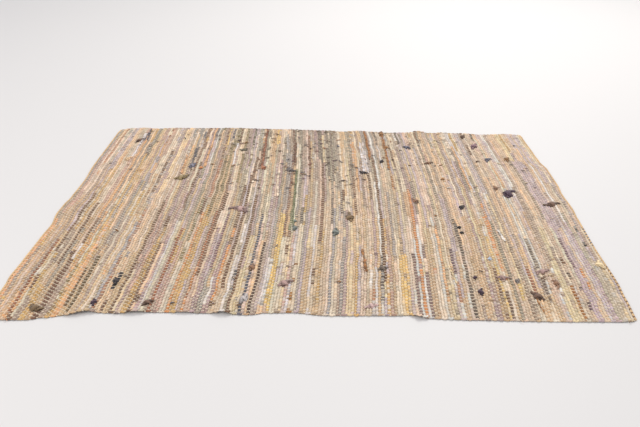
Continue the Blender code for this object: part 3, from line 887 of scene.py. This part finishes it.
def rag_tail(pile, x, y, z, turn, length, width, colour, thick=TAIL_THICK, rise=0.0):
    """A torn rag end that lies on the cloth, a little off it in its middle or at its tip."""
    along = np.linspace(0, 1, 7)
    bend = vary(-0.5, 0.5)
    heading = turn + bend * along
    path = np.stack([
        x + length * along * np.cos(heading),
        y + length * along * np.sin(heading),
        z + TAIL_ARCH * np.sin(np.pi * along) * vary(0.4, 1.2) + rise * along**2,
    ], axis=1)
    widths = width * np.interp(along, [0, 0.3, 0.8, 1], [0.6, 0.9, 1.0, 0.75])
    widths = widths * vary(0.6, 1.3, len(along))
    shades = colour * vary(0.75, 1.25, (len(along), 1))
    tube(pile, path, widths, thick, shades, sides=6, rough=0.22)


def make_knots(weave, material):
    """The rag knots: a crumpled lump, a turn of rag over it, and its torn ends."""
    pile = Pile()
    rings = 10
    sides = 14
    rise = np.linspace(-0.11 * np.pi, 0.5 * np.pi, rings)[:, None]
    round_it = (2 * np.pi * np.arange(sides) / sides)[None]
    for knot in KNOTS:
        colour = linear(knot.colour) * vary(0.72, 1.02)
        long, wide = knot.long * LUMP_LONGER, knot.wide * LUMP_WIDER
        angle = math.radians(knot.turn)
        along = np.array([math.cos(angle), math.sin(angle), 0])
        across = np.array([-math.sin(angle), math.cos(angle), 0])
        top = weave.top_at(knot.x, knot.y)
        centre = np.array([knot.x, knot.y, top - CREST + KNOT_BASE])
        height = CREST + knot.high - KNOT_BASE
        folds = 1 + 0.26 * np.sin(3 * round_it + 5 * rise + vary(0, 6))
        folds = folds + 0.15 * np.sin(6 * round_it - 4 * rise + vary(0, 6))
        flat = np.cos(rise) ** 0.7 * folds
        points = centre + (
            (flat * np.cos(round_it) * long / 2)[..., None] * along
            + (flat * np.sin(round_it) * wide / 2)[..., None] * across
            + (np.sin(rise) * height * (0.9 + 0.1 * folds))[..., None] * UP
        )
        points[1:-1] += LUMP_ROUGH * vary(-1, 1, points[1:-1].shape)
        # Painted light and shade: folds that bulge out are painted lighter, and those that sink in
        # darker.
        shade = colour * (0.80 + 1.2 * (folds - 0.85))[..., None] * np.ones(3)
        shade = shade * vary(0.65, 1.45, shade.shape[:2])[..., None]
        faces = grid_faces(rings, sides, closed=True).tolist()
        pile.add(points, faces, shade)
        arch = np.linspace(-0.02 * np.pi, 1.02 * np.pi, 9)[:, None]
        tilt = vary(-0.25, 0.25) * long
        path = centre + (
            np.cos(arch) * wide * 0.52 * across
            + np.sin(arch) * height * 0.98 * UP
            + tilt * np.cos(arch) * along
        )
        over = long * vary(0.28, 0.42)
        # Painted highlight: the turn of rag on top of the knot is painted lighter than its lump.
        tube(pile, path, over, KNOT_TURN, colour * vary(1.2, 2.0), rough=0.25)
        for way in (0, math.pi):
            if knot.long > 0.02 or vary() < 0.5:
                length = long * vary(0.30, 0.60)
                start = centre + along * math.cos(way) * long * 0.36
                heading = angle + way + vary(-1.1, 1.1)
                tone = colour * vary(0.8, 1.6)
                low = top + 0.0010
                rag_tail(pile, start[0], start[1], low, heading, length, wide * 0.45, tone, wide * 0.14)
    return pile.make("rag_knots", material)


def make_strips(weave, material):
    """The longer loose rags that lie along the passes."""
    pile = Pile()
    for strip in STRIPS:
        count = max(8, int((strip.far - strip.near) / STRIP_STEP))
        along = np.linspace(0, 1, count)
        y = strip.far + (strip.near - strip.far) * along
        sway = drift(1, count, 15)[0] + 0.5 * drift(1, count, 3.5)[0]
        x = strip.x + strip.drift * (along - 0.5) + STRIP_SWAY * sway
        z = np.array([weave.top_at(a, b) for a, b in zip(x, y)])
        z = z - STRIP_SINK + STRIP_LIFT * np.abs(drift(1, count, 3)[0])
        widths = strip.width * (0.80 + 0.45 * drift(1, count, 1.8)[0])
        widths *= np.interp(along, [0, 0.03, 0.97, 1], [0.5, 1, 1, 0.4])
        shade = linear(strip.colour) * (0.86 + 0.42 * drift(1, count, 2.0)[0])[:, None]
        tube(pile, np.stack([x, y, z], axis=1), widths, STRIP_THICK, shade, sides=10, rough=0.42)
    return pile.make("loose_rags", material)


def make_torn_ends(weave, material):
    """Small torn ends that stick up where two rags meet, mostly in the far half."""
    pile = Pile()
    tones = "brown dark_brown dark_taupe dark_grey plum amber olive rust slate".split()
    for number in range(TORN_ENDS):
        crowded = number < CROWDED_ENDS
        x = vary(-0.48, 0.44) if crowded else vary(-1.13, 1.13)
        y = vary(0.12, 0.79) if crowded or number % 4 else vary(-0.78, 0.0)
        rag = zone_colour(x, y) if number % 3 and not crowded else rng.choice(tones)
        # Painted shadow: most ends are darkened, for the shadow beneath them.
        colour = linear(rag) * vary(0.5, 1.1)
        z = weave.top_at(x, y) + 0.0002
        turn = vary(-0.5, 0.5) + math.pi * rng.integers(2)
        length = vary(0.010, 0.028) if crowded else vary(0.008, 0.020)
        width = vary(0.0045, 0.0105)
        rag_tail(pile, x, y, z, turn, length, width, colour, TORN_THICK, vary(0, TORN_RISE))
    return pile.make("torn_ends", material)


def make_threads(weave, material):
    """Loose warp and rag threads along the near and far edges."""
    pile = Pile()
    for thread in THREADS:
        edge = follow(NEAR_EDGE if thread.edge < 0 else FAR_EDGE, np.array([thread.x]))[0]
        heading = thread.edge * math.pi / 2 + thread.turn
        start = edge - thread.edge * THREAD_HELD
        z = weave.top_at(thread.x, start) - THREAD_DROP
        tone = linear(thread.colour)
        rag_tail(pile, thread.x, start, z, heading, thread.length, THREAD_WIDTH, tone)
    return pile.make("loose_threads", material)


def make_heading(name, side, accents, material):
    """The twisted cotton cord that binds the warp ends along one short end."""
    outline = LEFT_END if side < 0 else RIGHT_END
    share = 0.0 if side < 0 else 1.0
    _, low, _ = cloth_place(np.array([share]), np.array([0.0]))
    _, high, _ = cloth_place(np.array([share]), np.array([1.0]))
    count = int((high[0] - low[0]) / HEADING_STEP)
    y = np.linspace(low[0] + HEADING_INSET, high[0] - HEADING_INSET, count)
    x = follow(outline, y) - side * BAND_WIDTH / 2
    sides = 12
    angle = -2 * np.pi * np.arange(sides) / sides
    twist = 2 * np.pi * y / TWIST
    ridge = 1 + 0.10 * np.cos(2 * (angle[None] + 0.5 * twist[:, None]))
    ridge = ridge * (1 + 0.05 * drift(1, count, 6)[0])[:, None]
    ends = np.sqrt(np.clip(np.minimum(y - y[0], y[-1] - y) / HEADING_TAPER, 0.04, 1))[:, None]
    points = np.empty((count, sides, 3))
    points[..., 0] = x[:, None] + BAND_WIDTH * 0.47 * ridge * ends * np.cos(angle)
    points[..., 1] = y[:, None]
    points[..., 2] = HEADING_HEIGHT + HEADING_HALF * ridge * ends * np.sin(angle)
    tan = linear("peach") * 0.6 + linear("yellow") * 0.4
    shade = tan * (1 + 0.12 * drift(1, count, 12)[0] + 0.08 * drift(1, count, 3)[0])[:, None]
    for accent in accents:
        inside = (y > accent.near) & (y < accent.far) & (np.sin(2 * np.pi * y / ACCENT_EVERY) > 0.45)
        shade[inside] = linear(accent.colour)
    # Painted shade: the cord is painted darker in the grooves of its twist and lighter on its ridges.
    shade = shade[:, None] * (0.75 + 0.25 * (ridge - 0.9) / 0.2)[..., None]
    pile = Pile()
    pile.add(points, tube_faces(count, sides), shade)
    piece = pile.make(name, material)
    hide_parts(f"end_band_{name.split('_')[-1]}")
    return piece


def make_floor():
    """A wide pale floor under the rug."""
    bpy.ops.mesh.primitive_plane_add(size=30, location=(0, 0, 0))
    floor = bpy.context.object
    floor.name = "floor"
    paint, _ = new_material("pale_floor", Base_Color=(0.655, 0.646, 0.638, 1), Roughness=0.6)
    floor.data.materials.append(paint)


def area_light(name, place, aim, size, power, colour):
    """A large soft lamp at a place, turned towards a point."""
    lamp = bpy.data.lights.new(name, "AREA")
    lamp.shape = "DISK"
    lamp.size = size
    lamp.energy = power
    lamp.color = colour
    holder = bpy.data.objects.new(name, lamp)
    holder.location = place
    away = holder.location - type(holder.location)(aim)
    holder.rotation_euler = away.to_track_quat("Z", "Y").to_euler()
    bpy.context.scene.collection.objects.link(holder)


def make_light():
    """Soft daylight, mostly from above and behind the rug."""
    world = bpy.data.worlds.new("studio")
    world.use_nodes = True
    background = world.node_tree.nodes["Background"]
    background.inputs["Color"].default_value = (0.98, 0.97, 1.0, 1)
    background.inputs["Strength"].default_value = 0.82
    bpy.context.scene.world = world
    area_light("window", (1.9, 4.3, 4.8), (0.2, 0, 0), 3.2, 235, (1.0, 0.97, 0.92))
    area_light("fill", (-3.0, -2.6, 3.6), (0, -0.2, 0), 2.8, 70, (1.0, 0.97, 0.93))
    bpy.context.scene.view_settings.view_transform = "Standard"


def make_camera():
    """The photograph's view."""
    lens = bpy.data.cameras.new("camera")
    lens.sensor_width = SENSOR
    lens.lens = SENSOR * FOCAL_PIXELS / FRAME_PIXELS
    camera = bpy.data.objects.new("camera", lens)
    camera.location = CAMERA_PLACE
    camera.rotation_euler = (math.pi / 2 - CAMERA_DOWN, 0, CAMERA_LEFT)
    bpy.context.scene.collection.objects.link(camera)
    bpy.context.scene.camera = camera


def main():
    """Builds the rug's looks, its floor, light and camera."""
    make_camera()
    make_light()
    make_floor()
    rags = cloth_material("rag_cotton", RAG_THREAD, 0.0006, 0.92, 0.15)
    string = cloth_material("string_cotton", (300, 1300, 900), 0.0004, 0.90, 0.10)
    cord = cloth_material("heading_cotton", (700, 700, 700), 0.0005, 0.92, 0.10)
    weave = Weave()
    weave.deal()
    for stripe in FAR_STRIPES + NEAR_STRIPES:
        weave.lay_stripe(stripe)
    cloth = make_weft(weave, rags)
    cloth += make_strings(weave, string)
    back = make_underside(weave, back_material("back_cotton"))
    cloth.append(make_turns(weave, rags))
    cloth.append(make_knots(weave, rags))
    cloth.append(make_strips(weave, rags))
    cloth.append(make_torn_ends(weave, rags))
    cloth.append(make_threads(weave, rags))
    cloth.append(make_heading("heading_left", -1, [], cord))
    cloth.append(make_heading("heading_right", 1, ACCENTS, cord))


main()
